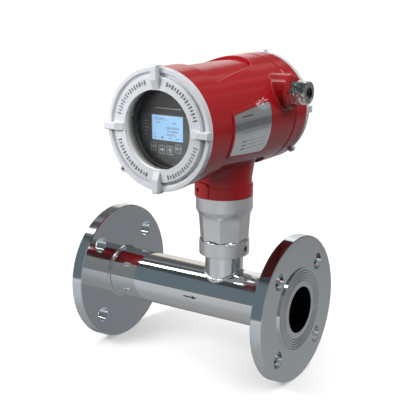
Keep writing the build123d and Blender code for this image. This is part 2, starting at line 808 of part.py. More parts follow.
# Electronics cartridge
def make_electronics_frame():
    floor_top = frame_floor + frame_floor_thickness
    body = rod(frame_radius, frame_floor, floor_top)
    body += tube(frame_radius, frame_radius - frame_wall, frame_floor, bezel_flange_rear)
    slot = Box(frame_wall * 6, frame_slot_width, bezel_flange_rear - floor_top - frame_slot_margin,
               align=BOTTOM)
    for place in around(3, frame_radius, frame_start_angle + 60):
        body -= place * Pos(0, 0, floor_top + 4) * slot
    for place in around(3, frame_post_circle, frame_start_angle):
        body += place * rod(frame_post_radius, frame_floor, bezel_flange_rear)
    for place in around(3, frame_post_screw_circle, frame_start_angle):
        body -= place * rod(small_screw_radius + thread_gap / 2, bezel_flange_rear - bezel_screw_length,
                             bezel_flange_rear + 1)
    for place in around(3, pillar_circle, frame_start_angle):
        body -= place * rod(small_screw_radius + 0.2, frame_floor - 1, floor_top + 1)
    return front_frame * body


def make_frame_pillars():
    pillar = Pos(0, 0, -partition_front) * extrude(RegularPolygon(pillar_flats / 2 / cos(radians(30)), 6),
                                                   frame_floor + partition_front)
    pillar -= rod(small_screw_radius + thread_gap / 2, frame_floor - frame_screw_grip - 2,
                  frame_floor + 1)
    return front_frame * group([place * pillar for place in around(3, pillar_circle, frame_start_angle)])


def make_frame_screws():
    length = frame_floor_thickness + frame_screw_grip
    screw = pan_screw(small_screw_radius, length, small_head_radius, small_head_height)
    top = frame_floor + frame_floor_thickness
    places = around(3, pillar_circle, frame_start_angle)
    return front_frame * group([place * Pos(0, 0, top) * screw for place in places])


def make_board_spacers():
    floor_top = frame_floor + frame_floor_thickness
    spans = [(floor_top, power_board_place), (power_board_place + board_thickness, main_board_place)]
    spacers = [rod(spacer_radius, low, high) for low, high in spans]
    places = around(3, spacer_circle, frame_start_angle + 60)
    return front_frame * group([place * spacer for place in places for spacer in spacers])


def make_board(place):
    return front_frame * rod(board_radius - frame_post_radius, place, place + board_thickness)


def make_power_transformer():
    width, depth, height = transformer_size
    low = power_board_place + board_thickness
    core = block(width, depth, low, low + height, 1.0)
    coil = block(width * 0.6, depth + 4, low + 2, low + height - 2, 2.0)
    return front_frame * Pos(*transformer_place, 0) * (core + coil)


def make_filter_capacitors():
    low = power_board_place + board_thickness
    can = rod(capacitor_radius, low, low + capacitor_height)
    return front_frame * group([Pos(x, z, 0) * can for x, z in capacitor_places])


# Rear compartment
def make_feedthrough():
    shank = rod(feedthrough_radius, partition_front - 3, partition_rear)
    flange = rod(feedthrough_flange_radius, partition_rear, partition_rear + feedthrough_flange)
    body = shank + flange
    for place in around(6, feedthrough_radius * 0.55):
        body += place * rod(0.8, partition_front - 7, partition_rear + feedthrough_flange + 4)
    return rear_frame * Pos(0, feedthrough_height, 0) * body


def terminal_spots():
    return [Pos((k - (terminal_count - 1) / 2) * terminal_pitch, 0, 0) for k in range(terminal_count)]


def block_screw_spots():
    across = terminal_width / 2 - small_head_radius - 0.4
    return [Pos(side * across, -terminal_depth / 4, 0) for side in (-1, 1)]


def make_terminal_block():
    top = partition_rear + terminal_height
    body = block(terminal_width, terminal_depth, partition_rear, top, 1.0)
    body -= Pos(0, -terminal_depth / 2, top) * Box(terminal_width + 2, terminal_depth, terminal_height * 0.6)
    step_top = top - terminal_height * 0.3
    for spot in terminal_spots():
        body -= spot * Pos(0, terminal_depth / 4, 0) * rod(terminal_screw_radius + 0.4, top - 3, top + 1)
        body -= spot * Pos(0, -terminal_depth / 4, 0) * rod(terminal_wire_radius, step_top - 6, step_top + 1)
    for place in block_screw_spots():
        body -= place * rod(small_screw_radius + thread_gap, partition_rear - 1, top + 1)
    return rear_frame * Pos(0, terminal_drop, 0) * body


def make_terminal_screws():
    top = partition_rear + terminal_height - 3
    head = rod(terminal_screw_radius, top, top + 2) - Pos(0, 0, top + 2) * Box(6, 0.7, 1.6)
    heads = group([spot * head for spot in terminal_spots()])
    return rear_frame * Pos(0, terminal_drop + terminal_depth / 4, 0) * heads


def make_block_screws():
    top = partition_rear + terminal_height * 0.7
    screw = pan_screw(small_screw_radius, terminal_height * 0.7 - 0.1, small_head_radius, small_head_height)
    return rear_frame * Pos(0, terminal_drop, top) * group([place * screw for place in block_screw_spots()])


def make_ground_screw():
    washer = tube(ground_screw_radius * 2.4, ground_screw_radius, partition_rear, partition_rear + 1.2)
    screw = pan_screw(ground_screw_radius, 1.2, ground_screw_radius * 1.9, 3.0)
    screw = Pos(0, 0, partition_rear + 1.2) * screw
    x, z = ground_screw_place
    return rear_frame * Pos(x, z, 0) * (washer + screw)


# Cable gland on the right, blanking plug on the left
def make_gland_body():
    low = entry_boss_reach - gland_shank_length
    body = rod(entry_bore_radius - thread_gap, low, entry_boss_reach)
    body += prism(gland_flats, entry_boss_reach, gland_nose_start)
    body += rod(gland_nose_radius, gland_nose_start, gland_nose_top)
    body -= rod(gland_bore_radius, low - 1, gland_nose_top + 1)
    body -= rod(gland_seal_radius + gland_nut_clearance, gland_nose_start + 0.5, gland_nose_top + 1)
    return right_entry * body


def make_gland_seal():
    return right_entry * tube(gland_seal_radius, cable_radius, gland_nose_start + 0.6, gland_washer_low - 0.1)


def make_gland_washer():
    high = gland_washer_low + gland_washer_thickness
    return right_entry * tube(gland_seal_radius, gland_washer_bore, gland_washer_low, high)


def make_gland_nut():
    low = gland_nut_low
    high = low + gland_nut_length
    roof = gland_washer_low + gland_washer_thickness
    corner = gland_flats / 2 / cos(radians(30))
    dome = turned([(0, low), (corner - 0.8, low), (corner + 0.4, low + 1),
                   (corner + 0.4, high - gland_nut_round * 2), (corner - 1.2, high), (0, high)],
                  [(4, gland_nut_round)])
    body = Pos(0, 0, low) * extrude(RegularPolygon(corner, 6), gland_nut_length) & dome
    body -= rod(gland_nose_radius + gland_nut_clearance, low - 1, roof)
    body -= rod(gland_hole_radius, low, high + 1)
    return right_entry * body


def make_blanking_plug():
    low = entry_boss_reach
    body = rod(entry_bore_radius - thread_gap, low - gland_shank_length, low)
    body += prism(gland_flats, low, low + plug_head_height)
    socket = extrude(RegularPolygon(plug_socket_flats / 2 / cos(radians(30)), 6), plug_head_height)
    return left_entry * (body - Pos(0, 0, low + 1.5) * socket)


outlet_place = Pos(face_to_face, 0, 0) * Rot(0, 0, 180)
lcd_place = Pos(lcd_centre_x, lcd_centre_z, 0)

pieces = {
    "flow_tube": make_flow_tube(),
    "inlet_flange": make_flange(),
    "outlet_flange": outlet_place * make_flange(),
    "flange_welds": make_flange_welds(),
    "sensor_stem": make_sensor_stem(),
    "stem_weld": make_stem_weld(),
    "probe_body": make_probe_body(),
    "heated_sensor": make_sensor(-1),
    "reference_sensor": make_sensor(1),
    "probe_seal": make_probe_seal(),
    "probe_nut": make_probe_nut(),
    "head_adaptor": make_head_adaptor(),
    "adaptor_set_screw": make_adaptor_set_screw(),
    "neck_seal": make_neck_seal(),
    "housing": make_housing(),
    "nameplate": make_nameplate(),
    "swivel_lock_screw": make_swivel_lock_screw(),
    "front_cover": make_front_cover(),
    "front_lock_screw": make_cover_lock_screw(front_frame, front_seat, front_lug_angle),
    "front_oring": make_cover_oring(front_frame, front_seat),
    "cover_glass": make_cover_glass(),
    "glass_gasket": make_glass_gasket(),
    "glass_retaining_ring": make_glass_retaining_ring(),
    "rear_cover": make_rear_cover(),
    "rear_lock_screw": make_cover_lock_screw(rear_frame, rear_seat, rear_lug_angle),
    "rear_oring": make_cover_oring(rear_frame, rear_seat),
    "display_bezel": make_display_bezel(),
    "display_faceplate": make_display_faceplate(),
    "lcd_module": make_lcd_module(),
    "display_board": make_display_board(),
    "key_switches": make_key_switches(),
    "display_screws": make_display_screws(),
    "bezel_screws": make_bezel_screws(),
    "electronics_frame": make_electronics_frame(),
    "frame_pillars": make_frame_pillars(),
    "frame_screws": make_frame_screws(),
    "board_spacers": make_board_spacers(),
    "power_board": make_board(power_board_place),
    "main_board": make_board(main_board_place),
    "power_transformer": make_power_transformer(),
    "filter_capacitors": make_filter_capacitors(),
    "feedthrough": make_feedthrough(),
    "terminal_block": make_terminal_block(),
    "terminal_screws": make_terminal_screws(),
    "block_screws": make_block_screws(),
    "ground_screw": make_ground_screw(),
    "gland_body": make_gland_body(),
    "gland_seal": make_gland_seal(),
    "gland_washer": make_gland_washer(),
    "gland_nut": make_gland_nut(),
    "blanking_plug": make_blanking_plug(),
}
for key_name, (key_x, key_z) in key_places.items():
    pieces[key_name] = make_key(key_x, key_z)

os.makedirs("parts", exist_ok=True)
for node, shape in pieces.items():
    export_step(shape, f"parts/{node}.step")
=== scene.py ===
import bmesh
import bpy
import json
from math import asin, cos, pi, radians, sin, sqrt
from mathutils import Euler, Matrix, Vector


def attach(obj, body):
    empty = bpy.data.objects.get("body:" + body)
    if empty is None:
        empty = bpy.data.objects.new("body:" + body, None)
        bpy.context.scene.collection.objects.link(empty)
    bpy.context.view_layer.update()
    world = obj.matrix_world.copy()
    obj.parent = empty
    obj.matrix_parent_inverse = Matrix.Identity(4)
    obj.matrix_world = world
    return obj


# Gas mass flow meter: finishes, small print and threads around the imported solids. Lengths are in metres.
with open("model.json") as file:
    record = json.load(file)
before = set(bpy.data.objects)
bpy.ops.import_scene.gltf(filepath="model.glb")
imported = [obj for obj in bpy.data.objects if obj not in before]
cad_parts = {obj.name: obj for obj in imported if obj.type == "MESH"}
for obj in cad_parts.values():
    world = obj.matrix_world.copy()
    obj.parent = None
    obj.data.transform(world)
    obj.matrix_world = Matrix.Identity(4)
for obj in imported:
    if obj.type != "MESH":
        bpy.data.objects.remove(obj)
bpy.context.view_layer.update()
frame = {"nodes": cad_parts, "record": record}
solids = frame["nodes"]

MM = 0.001

# Head: the housing's centre line along Y, the planes of its front, and the display's centre in millimetres
HEAD_X, HEAD_Z = 0.1626, 0.2091
COVER_FACE_Y = -0.1265
KEY_TOP_Y = -0.1008
FACEPLATE_Y = -0.1004
LCD_Y = -0.1001
LCD_U, LCD_V = -3.5, -1.6
PLATE_RADIUS = 0.06255
DARKER_ABOVE = (HEAD_Z + 0.0124, HEAD_Z + 0.0134)
ENTRY = Vector((HEAD_X, 0.028, 0.2352))

# Tube, flanges and adaptor
TUBE_RADIUS = 0.03015
FLOW_HALF = 0.131
GROOVE_DEPTH = (0.0002, 0.0007)
GROOVE_REACH = (0.0325, 0.0455)
LEDGE_Z = 0.066
LEDGE_SLACK = 0.00008

# Print: how far it floats off what carries it, and how thick it is
LIFT = 0.00002
INK = 0.00002
THICK_INK = 0.00003

# Where nearly all values of a noise texture lie
NOISE_SPAN = (0.3, 0.7)


# Node helpers for the finishes
def new_material(name, metallic=0.0):
    material = bpy.data.materials.new(name)
    material.use_nodes = True
    tree = material.node_tree
    shader = tree.nodes["Principled BSDF"]
    shader.inputs["Metallic"].default_value = metallic
    coords = tree.nodes.new("ShaderNodeTexCoord")
    return material, tree, shader, coords.outputs["Object"]


def mapped(tree, vector, scale=(1, 1, 1), turn=(0, 0, 0)):
    node = tree.nodes.new("ShaderNodeMapping")
    node.inputs["Rotation"].default_value = turn
    node.inputs["Scale"].default_value = scale
    tree.links.new(vector, node.inputs["Vector"])
    return node.outputs["Vector"]


def axis_parts(tree, vector):
    """The X, Y and Z of a vector, as three sockets."""
    node = tree.nodes.new("ShaderNodeSeparateXYZ")
    tree.links.new(vector, node.inputs[0])
    return tuple(node.outputs)


def noise(tree, vector, scale, detail=3.0, rough=0.5):
    node = tree.nodes.new("ShaderNodeTexNoise")
    node.inputs["Scale"].default_value = scale
    node.inputs["Detail"].default_value = detail
    node.inputs["Roughness"].default_value = rough
    tree.links.new(vector, node.inputs["Vector"])
    return node.outputs["Fac"]


def maths(tree, kind, *values):
    node = tree.nodes.new("ShaderNodeMath")
    node.operation = kind
    for socket, value in zip(node.inputs, values):
        if isinstance(value, (int, float)):
            socket.default_value = value
        else:
            tree.links.new(value, socket)
    return node.outputs[0]


def spread(tree, value, low, high, new_low, new_high):
    """Value stretched from one range to another, held at its ends."""
    node = tree.nodes.new("ShaderNodeMapRange")
    for name, limit in zip(("From Min", "From Max", "To Min", "To Max"), (low, high, new_low, new_high)):
        node.inputs[name].default_value = limit
    tree.links.new(value, node.inputs["Value"])
    return node.outputs["Result"]


def ramp(tree, value, stops, ease="LINEAR"):
    node = tree.nodes.new("ShaderNodeValToRGB")
    node.color_ramp.interpolation = ease
    points = node.color_ramp.elements
    while len(points) < len(stops):
        points.new(0.5)
    for point, (place, tone) in zip(points, stops):
        point.position = place
        point.color = (*tone, 1.0)
    tree.links.new(value, node.inputs["Fac"])
    return node.outputs["Color"]


def mixed_number(tree, share, first, second):
    """First value where the share is 0, second value where it is 1."""
    return maths(tree, "ADD", maths(tree, "MULTIPLY", first, maths(tree, "SUBTRACT", 1.0, share)),
                 maths(tree, "MULTIPLY", share, second))


def mixed(tree, share, first, second, kind="MIX"):
    node = tree.nodes.new("ShaderNodeMix")
    node.data_type = "RGBA"
    node.blend_type = kind
    for socket, value in zip((node.inputs[0], node.inputs[6], node.inputs[7]), (share, first, second)):
        if isinstance(value, (int, float)):
            socket.default_value = value
        elif isinstance(value, tuple):
            socket.default_value = (*value, 1.0)
        else:
            tree.links.new(value, socket)
    return node.outputs[2]


def bump(tree, shader, height, strength, distance, under=None):
    node = tree.nodes.new("ShaderNodeBump")
    node.inputs["Strength"].default_value = strength
    node.inputs["Distance"].default_value = distance
    tree.links.new(height, node.inputs["Height"])
    if under is not None:
        tree.links.new(under, node.inputs["Normal"])
    tree.links.new(node.outputs["Normal"], shader.inputs["Normal"])
    return node.outputs["Normal"]


def toned(tree, shader, vector, tone, share, scale):
    """Base colour that drifts a little over the surface."""
    dark = tuple(c * (1 - share) for c in tone)
    light = tuple(min(1.0, c * (1 + share)) for c in tone)
    drift = spread(tree, noise(tree, vector, scale, 4.0), *NOISE_SPAN, 0.0, 1.0)
    colour = mixed(tree, drift, dark, light)
    tree.links.new(colour, shader.inputs["Base Color"])
    return colour


def roughened(tree, shader, vector, low, high, scale):
    tree.links.new(spread(tree, noise(tree, vector, scale, 5.0, 0.6), *NOISE_SPAN, low, high),
                   shader.inputs["Roughness"])


# Finishes
def polished_steel():
    """Tube steel, with fine lines drawn along the flow."""
    material, tree, shader, coords = new_material("polished_steel", 1.0)
    toned(tree, shader, coords, (0.86, 0.875, 0.885), 0.02, 9.0)
    lines = mapped(tree, coords, (3.0, 420.0, 420.0))
    roughened(tree, shader, lines, 0.04, 0.11, 3.0)
    bump(tree, shader, noise(tree, lines, 2.0, 4.0), 0.03, 0.00004)
    return material


def turned_steel():
    """Flange steel: fine lathe rings round the flow axis, and grooves in the sealing faces, rougher and
    darkened with painted shade.
    """
    ring_scale = 900.0
    groove_painted_shade, groove_roughness = (0.50, 0.51, 0.52), 0.22
    material, tree, shader, coords = new_material("turned_steel", 1.0)
    clean = toned(tree, shader, coords, (0.83, 0.868, 0.893), 0.02, 9.0)
    x, y, z = axis_parts(tree, coords)
    reach = maths(tree, "SQRT", maths(tree, "ADD", maths(tree, "MULTIPLY", y, y),
                                      maths(tree, "MULTIPLY", z, z)))
    across = tree.nodes.new("ShaderNodeCombineXYZ")
    tree.links.new(maths(tree, "MULTIPLY", reach, ring_scale), across.inputs[0])
    tree.links.new(maths(tree, "MULTIPLY", x, ring_scale), across.inputs[1])
    rings = noise(tree, across.outputs[0], 1.6, 3.0)
    from_middle = maths(tree, "ABSOLUTE", maths(tree, "SUBTRACT", x, FLOW_HALF))
    depth = maths(tree, "SUBTRACT", FLOW_HALF, from_middle)
    groove = maths(tree, "GREATER_THAN", depth, GROOVE_DEPTH[0])
    for kind, value, limit in (("LESS_THAN", depth, GROOVE_DEPTH[1]),
                               ("GREATER_THAN", reach, GROOVE_REACH[0]),
                               ("LESS_THAN", reach, GROOVE_REACH[1])):
        groove = maths(tree, "MULTIPLY", groove, maths(tree, kind, value, limit))
    # Painted shade: the grooves in the sealing faces get a darker base colour
    tree.links.new(mixed(tree, groove, clean, groove_painted_shade), shader.inputs["Base Color"])
    polish = spread(tree, rings, *NOISE_SPAN, 0.05, 0.12)
    tree.links.new(mixed_number(tree, groove, polish, groove_roughness), shader.inputs["Roughness"])
    bump(tree, shader, rings, 0.05, 0.00005)
    return material


def stem_steel():
    """Stem steel, polished round its own upright axis."""
    material, tree, shader, coords = new_material("stem_steel", 1.0)
    toned(tree, shader, coords, (0.87, 0.88, 0.89), 0.02, 12.0)
    lines = mapped(tree, coords, (40.0, 40.0, 900.0))
    roughened(tree, shader, lines, 0.06, 0.14, 1.5)
    bump(tree, shader, noise(tree, lines, 1.5, 4.0), 0.05, 0.00005)
    return material


def weld_bead():
    material, tree, shader, coords = new_material("weld_bead", 1.0)
    toned(tree, shader, coords, (0.74, 0.75, 0.76), 0.08, 60.0)
    roughened(tree, shader, coords, 0.12, 0.3, 240.0)
    bump(tree, shader, noise(tree, coords, 380.0, 2.0), 0.35, 0.0003)
    return material


def satin_aluminium():
    """Blasted aluminium, with a bright machined ledge on top of the adaptor's ring."""
    ledge_roughness = 0.06
    material, tree, shader, coords = new_material("satin_aluminium", 0.85)
    toned(tree, shader, coords, (0.87, 0.88, 0.885), 0.03, 30.0)
    height = axis_parts(tree, coords)[2]
    from_ledge = maths(tree, "ABSOLUTE", maths(tree, "SUBTRACT", height, LEDGE_Z))
    ledge = maths(tree, "LESS_THAN", from_ledge, LEDGE_SLACK)
    satin = spread(tree, noise(tree, coords, 500.0, 5.0, 0.6), *NOISE_SPAN, 0.27, 0.35)
    tree.links.new(mixed_number(tree, ledge, satin, ledge_roughness), shader.inputs["Roughness"])
    blasted = maths(tree, "MULTIPLY", noise(tree, coords, 2600.0, 2.0), maths(tree, "SUBTRACT", 1.0, ledge))
    bump(tree, shader, blasted, 0.2, 0.0001)
    return material


def bright_nickel():
    """Plated gland: a soft unevenness of the plating under a very fine one."""
    material, tree, shader, coords = new_material("bright_nickel", 1.0)
    toned(tree, shader, coords, (0.90, 0.90, 0.90), 0.03, 60.0)
    roughened(tree, shader, coords, 0.03, 0.07, 350.0)
    plated = bump(tree, shader, noise(tree, coords, 210.0, 1.0), 0.45, 0.0009)
    bump(tree, shader, noise(tree, coords, 900.0, 3.0), 0.04, 0.00008, plated)
    return material


def plain_metal(name, tone, low, high):
    material, tree, shader, coords = new_material(name, 1.0)
    toned(tree, shader, coords, tone, 0.05, 150.0)
    roughened(tree, shader, coords, low, high, 500.0)
    bump(tree, shader, noise(tree, coords, 1200.0, 3.0), 0.1, 0.00008)
    return material


def plate_steel():
    """Nameplate steel, brushed along the housing."""
    material, tree, shader, coords = new_material("plate_steel", 1.0)
    toned(tree, shader, coords, (0.90, 0.915, 0.925), 0.03, 25.0)
    lines = mapped(tree, coords, (2500.0, 40.0, 2500.0))
    roughened(tree, shader, lines, 0.08, 0.17, 1.0)
    bump(tree, shader, noise(tree, lines, 1.0, 3.0), 0.06, 0.00005)
    return material


def enamel(name, tone, low, high, coat, peel, shine):
    """Paint on a casting: a slow drift of tone, slight orange peel and the casting's soft unevenness."""
    material, tree, shader, coords = new_material(name)
    toned(tree, shader, coords, tone, 0.04, 22.0)
    roughened(tree, shader, coords, low, high, 120.0)
    shader.inputs["Specular IOR Level"].default_value = shine
    shader.inputs["Coat Weight"].default_value = coat
    shader.inputs["Coat Roughness"].default_value = 0.05
    cast = bump(tree, shader, noise(tree, coords, 55.0, 2.0), 0.05, 0.0009)
    bump(tree, shader, noise(tree, coords, 650.0, 2.0), peel, 0.00012, cast)
    return material


def moulded(name, tone, low, high, grain, strength=0.15):
    """Plastic or rubber with a fine moulded grain."""
    material, tree, shader, coords = new_material(name)
    toned(tree, shader, coords, tone, 0.08, 90.0)
    roughened(tree, shader, coords, low, high, grain * 0.4)
    bump(tree, shader, noise(tree, coords, grain, 2.0), strength, 0.0001)
    return material


def window_glass():
    material, tree, shader, coords = new_material("window_glass")
    shader.inputs["Transmission Weight"].default_value = 1.0
    shader.inputs["IOR"].default_value = 1.4
    toned(tree, shader, coords, (0.96, 0.985, 0.98), 0.01, 20.0)
    roughened(tree, shader, coords, 0.0, 0.012, 60.0)
    return material


def faceplate_sheet():
    """Dark faceplate, darker still above a height just over the display."""
    upper_tone = (0.006, 0.007, 0.009)
    material, tree, shader, coords = new_material("dark_faceplate")
    shader.inputs["Specular IOR Level"].default_value = 0.2
    upper = spread(tree, axis_parts(tree, coords)[2], *DARKER_ABOVE, 0.0, 1.0)
    lower = toned(tree, shader, coords, (0.036, 0.037, 0.038), 0.08, 90.0)
    tree.links.new(mixed(tree, upper, lower, upper_tone), shader.inputs["Base Color"])
    roughened(tree, shader, coords, 0.42, 0.52, 1040.0)
    bump(tree, shader, noise(tree, coords, 2600.0, 2.0), 0.08, 0.0001)
    return material


def lcd_panel():
    """Backlit display: lit only on its front, with a faint grid of dots and a slightly uneven light."""
    dot_pitch, lit_skin = 0.0003, 0.0004
    material, tree, shader, coords = new_material("lcd_panel")
    x, y, z = axis_parts(tree, coords)
    lines = [maths(tree, "ABSOLUTE", maths(tree, "SINE", maths(tree, "MULTIPLY", axis, pi / dot_pitch)))
             for axis in (x, z)]
    dots = spread(tree, maths(tree, "MINIMUM", *lines), 0.0, 0.35, 0.9, 1.0)
    glow = spread(tree, noise(tree, coords, 40.0, 1.0), *NOISE_SPAN, 0.96, 1.03)
    front = maths(tree, "LESS_THAN", y, LCD_Y + lit_skin)
    tree.links.new(mixed(tree, front, (0.03, 0.035, 0.03), (0.05, 0.08, 0.11)), shader.inputs["Base Color"])
    light = mixed(tree, dots, (0.22, 0.40, 0.62), (0.27, 0.49, 0.77))
    tree.links.new(light, shader.inputs["Emission Color"])
    power = maths(tree, "MULTIPLY", maths(tree, "MULTIPLY", dots, glow), front)
    tree.links.new(power, shader.inputs["Emission Strength"])
    shader.inputs["Roughness"].default_value = 0.3
    return material


def circuit_board():
    """Green solder mask with copper runs under it."""
    material, tree, shader, coords = new_material("circuit_board")
    cells = tree.nodes.new("ShaderNodeTexBrick")
    cells.inputs["Scale"].default_value = 260.0
    cells.inputs["Mortar Size"].default_value = 0.04
    cells.inputs["Color1"].default_value = (0.012, 0.115, 0.045, 1)
    cells.inputs["Color2"].default_value = (0.016, 0.14, 0.055, 1)
    cells.inputs["Mortar"].default_value = (0.03, 0.22, 0.09, 1)
    tree.links.new(mapped(tree, coords, turn=(radians(90), 0, 0)), cells.inputs["Vector"])
    tree.links.new(cells.outputs["Color"], shader.inputs["Base Color"])
    roughened(tree, shader, coords, 0.25, 0.4, 300.0)
    bump(tree, shader, cells.outputs["Fac"], 0.3, 0.00005)
    return material


def printed(name, tone):
    material, tree, shader, coords = new_material(name)
    toned(tree, shader, coords, tone, 0.12, 700.0)
    roughened(tree, shader, coords, 0.45, 0.6, 900.0)
    return material


finishes = {
    "polished_steel": polished_steel(),
    "turned_steel": turned_steel(),
    "stem_steel": stem_steel(),
    "weld_bead": weld_bead(),
    "satin_aluminium": satin_aluminium(),
    "bright_nickel": bright_nickel(),
    "plate_steel": plate_steel(),
    "bright_cut": plain_metal("bright_cut", (0.90, 0.91, 0.93), 0.03, 0.08),
    "probe_steel": plain_metal("probe_steel", (0.66, 0.68, 0.70), 0.18, 0.3),
    "screw_steel": plain_metal("screw_steel", (0.46, 0.47, 0.48), 0.28, 0.42),
    "brass": plain_metal("brass", (0.78, 0.60, 0.29), 0.2, 0.32),
    "darkened_brass": plain_metal("darkened_brass", (0.10, 0.085, 0.06), 0.35, 0.5),
    "red_paint": enamel("red_paint", (0.39, 0.008, 0.012), 0.36, 0.46, coat=0.8, peel=0.08, shine=0.1),
    "grey_paint": enamel("grey_paint", (0.64, 0.655, 0.69), 0.30, 0.40, coat=0.35, peel=0.12, shine=0.45),
    "window_glass": window_glass(),
    "black_rubber": moulded("black_rubber", (0.018, 0.018, 0.018), 0.5, 0.65, 1500.0),
    "black_plastic": moulded("black_plastic", (0.02, 0.02, 0.022), 0.35, 0.5, 1800.0),
    "dark_faceplate": faceplate_sheet(),
    "key_plastic": moulded("key_plastic", (0.028, 0.028, 0.03), 0.4, 0.5, 2200.0, 0.1),
    "lcd_panel": lcd_panel(),
    "circuit_board": circuit_board(),
    "transformer_case": moulded("transformer_case", (0.04, 0.04, 0.042), 0.4, 0.55, 900.0),
    "capacitor_sleeve": moulded("capacitor_sleeve", (0.025, 0.045, 0.12), 0.2, 0.3, 500.0, 0.05),
    "terminal_plastic": moulded("terminal_plastic", (0.08, 0.24, 0.11), 0.35, 0.45, 1200.0),
    "display_ink": printed("display_ink", (0.03, 0.05, 0.12)),
    "pale_print": printed("pale_print", (0.36, 0.37, 0.38)),
    "dark_print": printed("dark_print", (0.06, 0.065, 0.07)),
    # Paint of the sleeve over the window's bore: painted light, paler than the cover's grey so that the wall
    # looks lit
    "bore_painted_light": enamel("bore_painted_light", (0.86, 0.85, 0.82), 0.25, 0.35, coat=0.4, peel=0.03, shine=0.5),
    # Paint of the cover's raised ticks: painted shade, darker than the cover's grey
    "tick_painted_shade": enamel("tick_painted_shade", (0.24, 0.245, 0.26), 0.4, 0.5, coat=0.1, peel=0.1, shine=0.3),
}

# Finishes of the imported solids: each by its record slot, apart from these
own_finish = {
    "inlet_flange": "turned_steel",
    "outlet_flange": "turned_steel",
    "sensor_stem": "stem_steel",
    "gland_washer": "darkened_brass",
}
for part in frame["record"]["subparts"]:
    solid = solids[part["node"]]
    finish = finishes[own_finish.get(part["node"], part["material_slot"])]
    if not solid.data.materials:
        solid.data.materials.append(finish)
    for place in solid.material_slots:
        place.material = finish

# The window lets the lamps reach what lies behind it
solids["cover_glass"].visible_shadow = False


# Mesh helpers for the small pieces
def faced_outward(mesh):
    work = bmesh.new()
    work.from_mesh(mesh)
    bmesh.ops.recalc_face_normals(work, faces=work.faces)
    work.to_mesh(mesh)
    work.free()


def raw_piece(name, verts, faces, finish):
    """Object that rides on nothing yet, its faces pointing outwards."""
    mesh = bpy.data.meshes.new(name)
    mesh.from_pydata([tuple(v) for v in verts], [], faces)
    faced_outward(mesh)
    mesh.materials.append(finishes[finish])
    thing = bpy.data.objects.new(name, mesh)
    bpy.context.scene.collection.objects.link(thing)
    return thing


def settled(thing, body, record_slot):
    """Lets a finished piece ride on its body; its record slot is not used."""
    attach(thing, body)
    return thing


def piece(name, verts, faces, finish, body, record_slot):
    return settled(raw_piece(name, verts, faces, finish), body, record_slot)


def slab(outline, place, depth):
    """Closed slab: a flat outline of (u, v) points, set in space by a function of u, v and height."""
    count = len(outline)
    verts = [place(u, v, h) for h in (0.0, depth) for u, v in outline]
    faces = [list(range(count))[::-1], list(range(count, 2 * count))]
    faces += [[k, (k + 1) % count, count + (k + 1) % count, count + k] for k in range(count)]
    return verts, faces


def gathered(slabs):
    verts, faces = [], []
    for more_verts, more_faces in slabs:
        start = len(verts)
        verts += more_verts
        faces += [[start + k for k in face] for face in more_faces]
    return verts, faces


def bar(u0, v0, u1, v1, parts=1):
    """Rectangle with its long sides divided, so that it can follow a curved surface."""
    low = [(u0 + (u1 - u0) * k / parts, v0) for k in range(parts + 1)]
    return low + [(u, v1) for u, _ in reversed(low)]


def block_faces():
    """Faces of a six-sided block from its four foot corners and four top corners."""
    return [[0, 1, 2, 3], [7, 6, 5, 4]] + [[k, (k + 1) % 4, 4 + (k + 1) % 4, 4 + k] for k in range(4)]


def sleeve_faces(loop, spans, loops):
    """Faces between neighbouring loops of points: with as many spans as loops, the ring is closed."""
    return [[loop * k + i, loop * k + (i + 1) % loop, loop * ((k + 1) % loops) + (i + 1) % loop,
             loop * ((k + 1) % loops) + i] for k in range(spans) for i in range(loop)]


# Surfaces that carry print: u and v lie in the surface, h stands out of it
def on_lcd(u, v, h):
    """Point on the display, u and v in millimetres from its centre."""
    return Vector((HEAD_X + (LCD_U + u) * MM, LCD_Y - LIFT - h, HEAD_Z + (LCD_V + v) * MM))


def on_faceplate(u, v, h):
    """Point on the faceplate, u and v in millimetres from the head's centre line."""
    return Vector((HEAD_X + u * MM, FACEPLATE_Y - LIFT - h, HEAD_Z + v * MM))


def round_lcd(u, v, h):
    """Point on the faceplate, u and v in millimetres from the display's centre."""
    return on_faceplate(u + LCD_U, v + LCD_V, h)


def on_key(x, z):
    """Places points on the key whose centre is x and z millimetres from the head's centre line."""
    def place(u, v, h):
        return Vector((HEAD_X + (x + u) * MM, KEY_TOP_Y - LIFT - h, HEAD_Z + (z + v) * MM))
    return place


def on_tube(u, v, h):
    """Point on the flow tube: u along it, v round it from the front, downwards."""
    reach = TUBE_RADIUS + LIFT + h
    turn = v / TUBE_RADIUS
    return Vector((u, -reach * cos(turn), -reach * sin(turn)))


def on_plate(u, v, h):
    """Point on the nameplate: u towards the rear, v upwards from the head's centre line."""
    reach = PLATE_RADIUS + LIFT + h
    turn = asin(v / PLATE_RADIUS)
    return Vector((HEAD_X + reach * cos(turn), u, HEAD_Z + reach * sin(turn)))


def lcd_bar(u0, v0, u1, v1):
    return slab(bar(u0, v0, u1, v1), on_lcd, INK)


# Numbers on the display, drawn from seven strokes each
STROKES = {
    "0": "abcdef", "1": "bc", "2": "abged", "3": "abgcd", "4": "fgbc", "5": "afgcd", "6": "afgedc",
    "7": "abc", "8": "abcdefg", "9": "abcfgd",
}


def number(text, right, base, height):
    """Slabs of a number on the display, set flush right."""
    wide, thick = height * 0.52, height * 0.15
    half, gap = height / 2, thick * 1.6
    lines = {
        "a": (0, height - thick, wide, height), "g": (0, half - thick / 2, wide, half + thick / 2),
        "d": (0, 0, wide, thick), "f": (0, half, thick, height), "e": (0, 0, thick, half),
        "b": (wide - thick, half, wide, height), "c": (wide - thick, 0, wide, half),
    }
    slabs = []
    pen = right
    for sign in reversed(text):
        if sign == ".":
            pen -= thick * 2
            slabs.append(lcd_bar(pen, base, pen + thick, base + thick))
            continue
        pen -= wide + gap
        for stroke in STROKES[sign]:
            u0, v0, u1, v1 = lines[stroke]
            slabs.append(lcd_bar(pen + u0, base + v0, pen + u1, base + v1))
    return slabs


